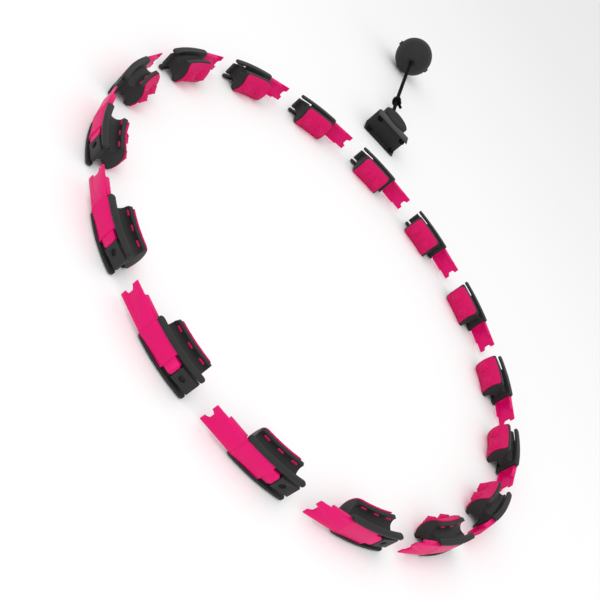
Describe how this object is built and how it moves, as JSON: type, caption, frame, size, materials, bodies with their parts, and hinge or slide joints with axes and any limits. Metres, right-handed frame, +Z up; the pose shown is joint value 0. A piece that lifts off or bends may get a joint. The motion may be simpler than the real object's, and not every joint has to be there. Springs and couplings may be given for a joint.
{
  "type": "rhythmic hoop",
  "caption": "Detachable exercise hoop laid open in a ring of curved links with massage pads, plus a wheeled carriage holding a weighted ball on a cord.",
  "frame": {"origin": "centre of the laid-out ring of links, on the floor under it", "axes": "+Z up along the ring axis, +X from the ring centre through link 14 to the carriage, cord and ball"},
  "size_m": [1.0922, 0.5984, 0.066],
  "materials": {
    "black_shell": "moulded black plastic, satin",
    "pink_track": "bright pink moulded plastic, semi-gloss",
    "pink_pad": "deep pink soft rubber, matt",
    "grey_housing": "dark grey moulded plastic, satin",
    "dark_cap": "near-black moulded plastic, fine texture",
    "black_wheel": "black rubber, matt",
    "black_cord": "braided black cord",
    "ball_shell": "black moulded plastic, semi-gloss",
    "iron_weight": "bare cast weight"
  },
  "bodies": {
    "link_14": {"link_14_frame": "black_shell", "link_14_track": "pink_track", "link_14_pad": "pink_pad"},
    "link_06": {"link_06_frame": "black_shell", "link_06_track": "pink_track", "link_06_pad": "pink_pad"},
    "link_01": {"link_01_frame": "black_shell", "link_01_track": "pink_track", "link_01_pad": "pink_pad"},
    "link_02": {"link_02_frame": "black_shell", "link_02_track": "pink_track", "link_02_pad": "pink_pad"},
    "link_03": {"link_03_frame": "black_shell", "link_03_track": "pink_track", "link_03_pad": "pink_pad"},
    "link_04": {"link_04_frame": "black_shell", "link_04_track": "pink_track", "link_04_pad": "pink_pad"},
    "link_05": {"link_05_frame": "black_shell", "link_05_track": "pink_track", "link_05_pad": "pink_pad"},
    "link_07": {"link_07_frame": "black_shell", "link_07_track": "pink_track", "link_07_pad": "pink_pad"},
    "link_08": {"link_08_frame": "black_shell", "link_08_track": "pink_track", "link_08_pad": "pink_pad"},
    "link_09": {"link_09_frame": "black_shell", "link_09_track": "pink_track", "link_09_pad": "pink_pad"},
    "link_10": {"link_10_frame": "black_shell", "link_10_track": "pink_track", "link_10_pad": "pink_pad"},
    "link_11": {"link_11_frame": "black_shell", "link_11_track": "pink_track", "link_11_pad": "pink_pad"},
    "link_12": {"link_12_frame": "black_shell", "link_12_track": "pink_track", "link_12_pad": "pink_pad"},
    "link_13": {"link_13_frame": "black_shell", "link_13_track": "pink_track", "link_13_pad": "pink_pad"},
    "link_15": {"link_15_frame": "black_shell", "link_15_track": "pink_track", "link_15_pad": "pink_pad"},
    "link_16": {"link_16_frame": "black_shell", "link_16_track": "pink_track", "link_16_pad": "pink_pad"},
    "carriage": {"carriage_body": "grey_housing", "carriage_cap": "dark_cap"},
    "wheel_a": {"wheel_a": "black_wheel"},
    "wheel_b": {"wheel_b": "black_wheel"},
    "wheel_c": {"wheel_c": "black_wheel"},
    "wheel_d": {"wheel_d": "black_wheel"},
    "ball_line": {"swivel": "dark_cap", "cord": "black_cord", "cord_knot": "black_cord", "ball_shell_lower": "ball_shell", "ball_shell_upper": "ball_shell", "ball_weight": "iron_weight"}
  },
  "joints": [
    {"name": "link_06_close", "type": "slide", "parent": "link_14", "child": "link_06", "axis": [1, 0, 0], "range_m": [0, 0.276]},
    {"name": "link_01_close", "type": "slide", "parent": "link_14", "child": "link_01", "axis": [0.5556, -0.8315, 0], "range_m": [0, 0.15334]},
    {"name": "link_02_close", "type": "slide", "parent": "link_14", "child": "link_02", "axis": [0.7071, -0.7071, 0], "range_m": [0, 0.19516]},
    {"name": "link_03_close", "type": "slide", "parent": "link_14", "child": "link_03", "axis": [0.8315, -0.5556, 0], "range_m": [0, 0.22949]},
    {"name": "link_04_close", "type": "slide", "parent": "link_14", "child": "link_04", "axis": [0.9239, -0.3827, 0], "range_m": [0, 0.25499]},
    {"name": "link_05_close", "type": "slide", "parent": "link_14", "child": "link_05", "axis": [0.9808, -0.1951, 0], "range_m": [0, 0.2707]},
    {"name": "link_07_close", "type": "slide", "parent": "link_14", "child": "link_07", "axis": [0.9808, 0.1951, 0], "range_m": [0, 0.2707]},
    {"name": "link_08_close", "type": "slide", "parent": "link_14", "child": "link_08", "axis": [0.9239, 0.3827, 0], "range_m": [0, 0.25499]},
    {"name": "link_09_close", "type": "slide", "parent": "link_14", "child": "link_09", "axis": [0.8315, 0.5556, 0], "range_m": [0, 0.22949]},
    {"name": "link_10_close", "type": "slide", "parent": "link_14", "child": "link_10", "axis": [0.7071, 0.7071, 0], "range_m": [0, 0.19516]},
    {"name": "link_11_close", "type": "slide", "parent": "link_14", "child": "link_11", "axis": [0.5556, 0.8315, 0], "range_m": [0, 0.15334]},
    {"name": "link_12_close", "type": "slide", "parent": "link_14", "child": "link_12", "axis": [0.3827, 0.9239, 0], "range_m": [0, 0.10562]},
    {"name": "link_13_close", "type": "slide", "parent": "link_14", "child": "link_13", "axis": [0.1951, 0.9808, 0], "range_m": [0, 0.05384]},
    {"name": "link_15_close", "type": "slide", "parent": "link_14", "child": "link_15", "axis": [0.1951, -0.9808, 0], "range_m": [0, 0.05384]},
    {"name": "link_16_close", "type": "slide", "parent": "link_14", "child": "link_16", "axis": [0.3827, -0.9239, 0], "range_m": [0, 0.10562]},
    {"name": "carriage_orbit", "type": "hinge", "parent": "link_14", "child": "carriage", "pos_m": [0, 0, 0.0158], "axis": [0, 0, 1], "continuous": true},
    {"name": "wheel_a_spin", "type": "hinge", "parent": "carriage", "child": "wheel_a", "pos_m": [0.4216, 0.0233, 0.0262], "axis": [0, 0, 1], "continuous": true},
    {"name": "wheel_b_spin", "type": "hinge", "parent": "carriage", "child": "wheel_b", "pos_m": [0.4216, 0.0233, 0.0054], "axis": [0, 0, 1], "continuous": true},
    {"name": "wheel_c_spin", "type": "hinge", "parent": "carriage", "child": "wheel_c", "pos_m": [0.4216, -0.0233, 0.0262], "axis": [0, 0, 1], "continuous": true},
    {"name": "wheel_d_spin", "type": "hinge", "parent": "carriage", "child": "wheel_d", "pos_m": [0.4216, -0.0233, 0.0054], "axis": [0, 0, 1], "continuous": true},
    {"name": "ball_swing", "type": "hinge", "parent": "carriage", "child": "ball_line", "pos_m": [0.46, 0, 0.0158], "axis": [0, 0, 1], "range_deg": [-45, 45]}
  ],
  "couplings": [
    {"joint": "link_01_close", "follows": "link_06_close", "ratio": 0.55557},
    {"joint": "link_02_close", "follows": "link_06_close", "ratio": 0.70711},
    {"joint": "link_03_close", "follows": "link_06_close", "ratio": 0.83147},
    {"joint": "link_04_close", "follows": "link_06_close", "ratio": 0.92388},
    {"joint": "link_05_close", "follows": "link_06_close", "ratio": 0.98079},
    {"joint": "link_07_close", "follows": "link_06_close", "ratio": 0.98079},
    {"joint": "link_08_close", "follows": "link_06_close", "ratio": 0.92388},
    {"joint": "link_09_close", "follows": "link_06_close", "ratio": 0.83147},
    {"joint": "link_10_close", "follows": "link_06_close", "ratio": 0.70711},
    {"joint": "link_11_close", "follows": "link_06_close", "ratio": 0.55557},
    {"joint": "link_12_close", "follows": "link_06_close", "ratio": 0.38268},
    {"joint": "link_13_close", "follows": "link_06_close", "ratio": 0.19509},
    {"joint": "link_15_close", "follows": "link_06_close", "ratio": 0.19509},
    {"joint": "link_16_close", "follows": "link_06_close", "ratio": 0.38268}
  ]
}
